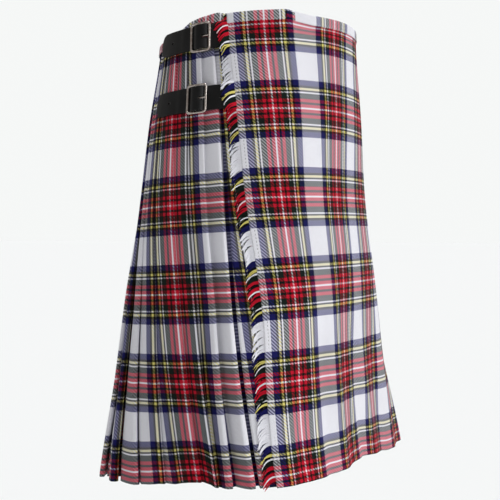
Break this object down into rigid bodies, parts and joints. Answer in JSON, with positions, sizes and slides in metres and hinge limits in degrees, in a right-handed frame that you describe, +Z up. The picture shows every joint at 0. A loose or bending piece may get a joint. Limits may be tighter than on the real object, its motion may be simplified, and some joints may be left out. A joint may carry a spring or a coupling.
{
  "type": "kilt",
  "caption": "Knee-length men's kilt in its worn, hollow shape: flat wrapped apron with a fringed edge, knife-pleated back, bound waist, leather straps and buckles.",
  "frame": {"origin": "middle of the waist opening, level with the top edge of the front apron", "axes": "+Z up the wearer's body; the front apron faces -Y; the wearer's right is -X"},
  "size_m": [0.4852, 0.3432, 0.6307],
  "materials": {
    "tartan_wool": "2/2 twill tartan: white ground with red, navy, green, black and yellow",
    "binding_wool": "twill tape cut from the same tartan",
    "fringe_wool": "ravelled wool threads in the weft's colours",
    "black_leather": "matte, lightly grained, with punched holes",
    "nickel_steel": "nickel plated, slightly worn"
  },
  "bodies": {
    "root": {"outer_apron": "tartan_wool", "under_apron": "tartan_wool", "pleats": "tartan_wool", "binding_front": "binding_wool", "binding_back": "binding_wool", "fringe": "fringe_wool", "strap_right_upper": "black_leather", "tab_right_upper": "black_leather", "buckle_frame_right_upper": "nickel_steel", "prong_right_upper": "nickel_steel", "strap_right_lower": "black_leather", "tab_right_lower": "black_leather", "buckle_frame_right_lower": "nickel_steel", "prong_right_lower": "nickel_steel", "strap_left": "black_leather", "tab_left": "black_leather", "buckle_frame_left": "nickel_steel", "prong_left": "nickel_steel"}
  },
  "joints": []
}
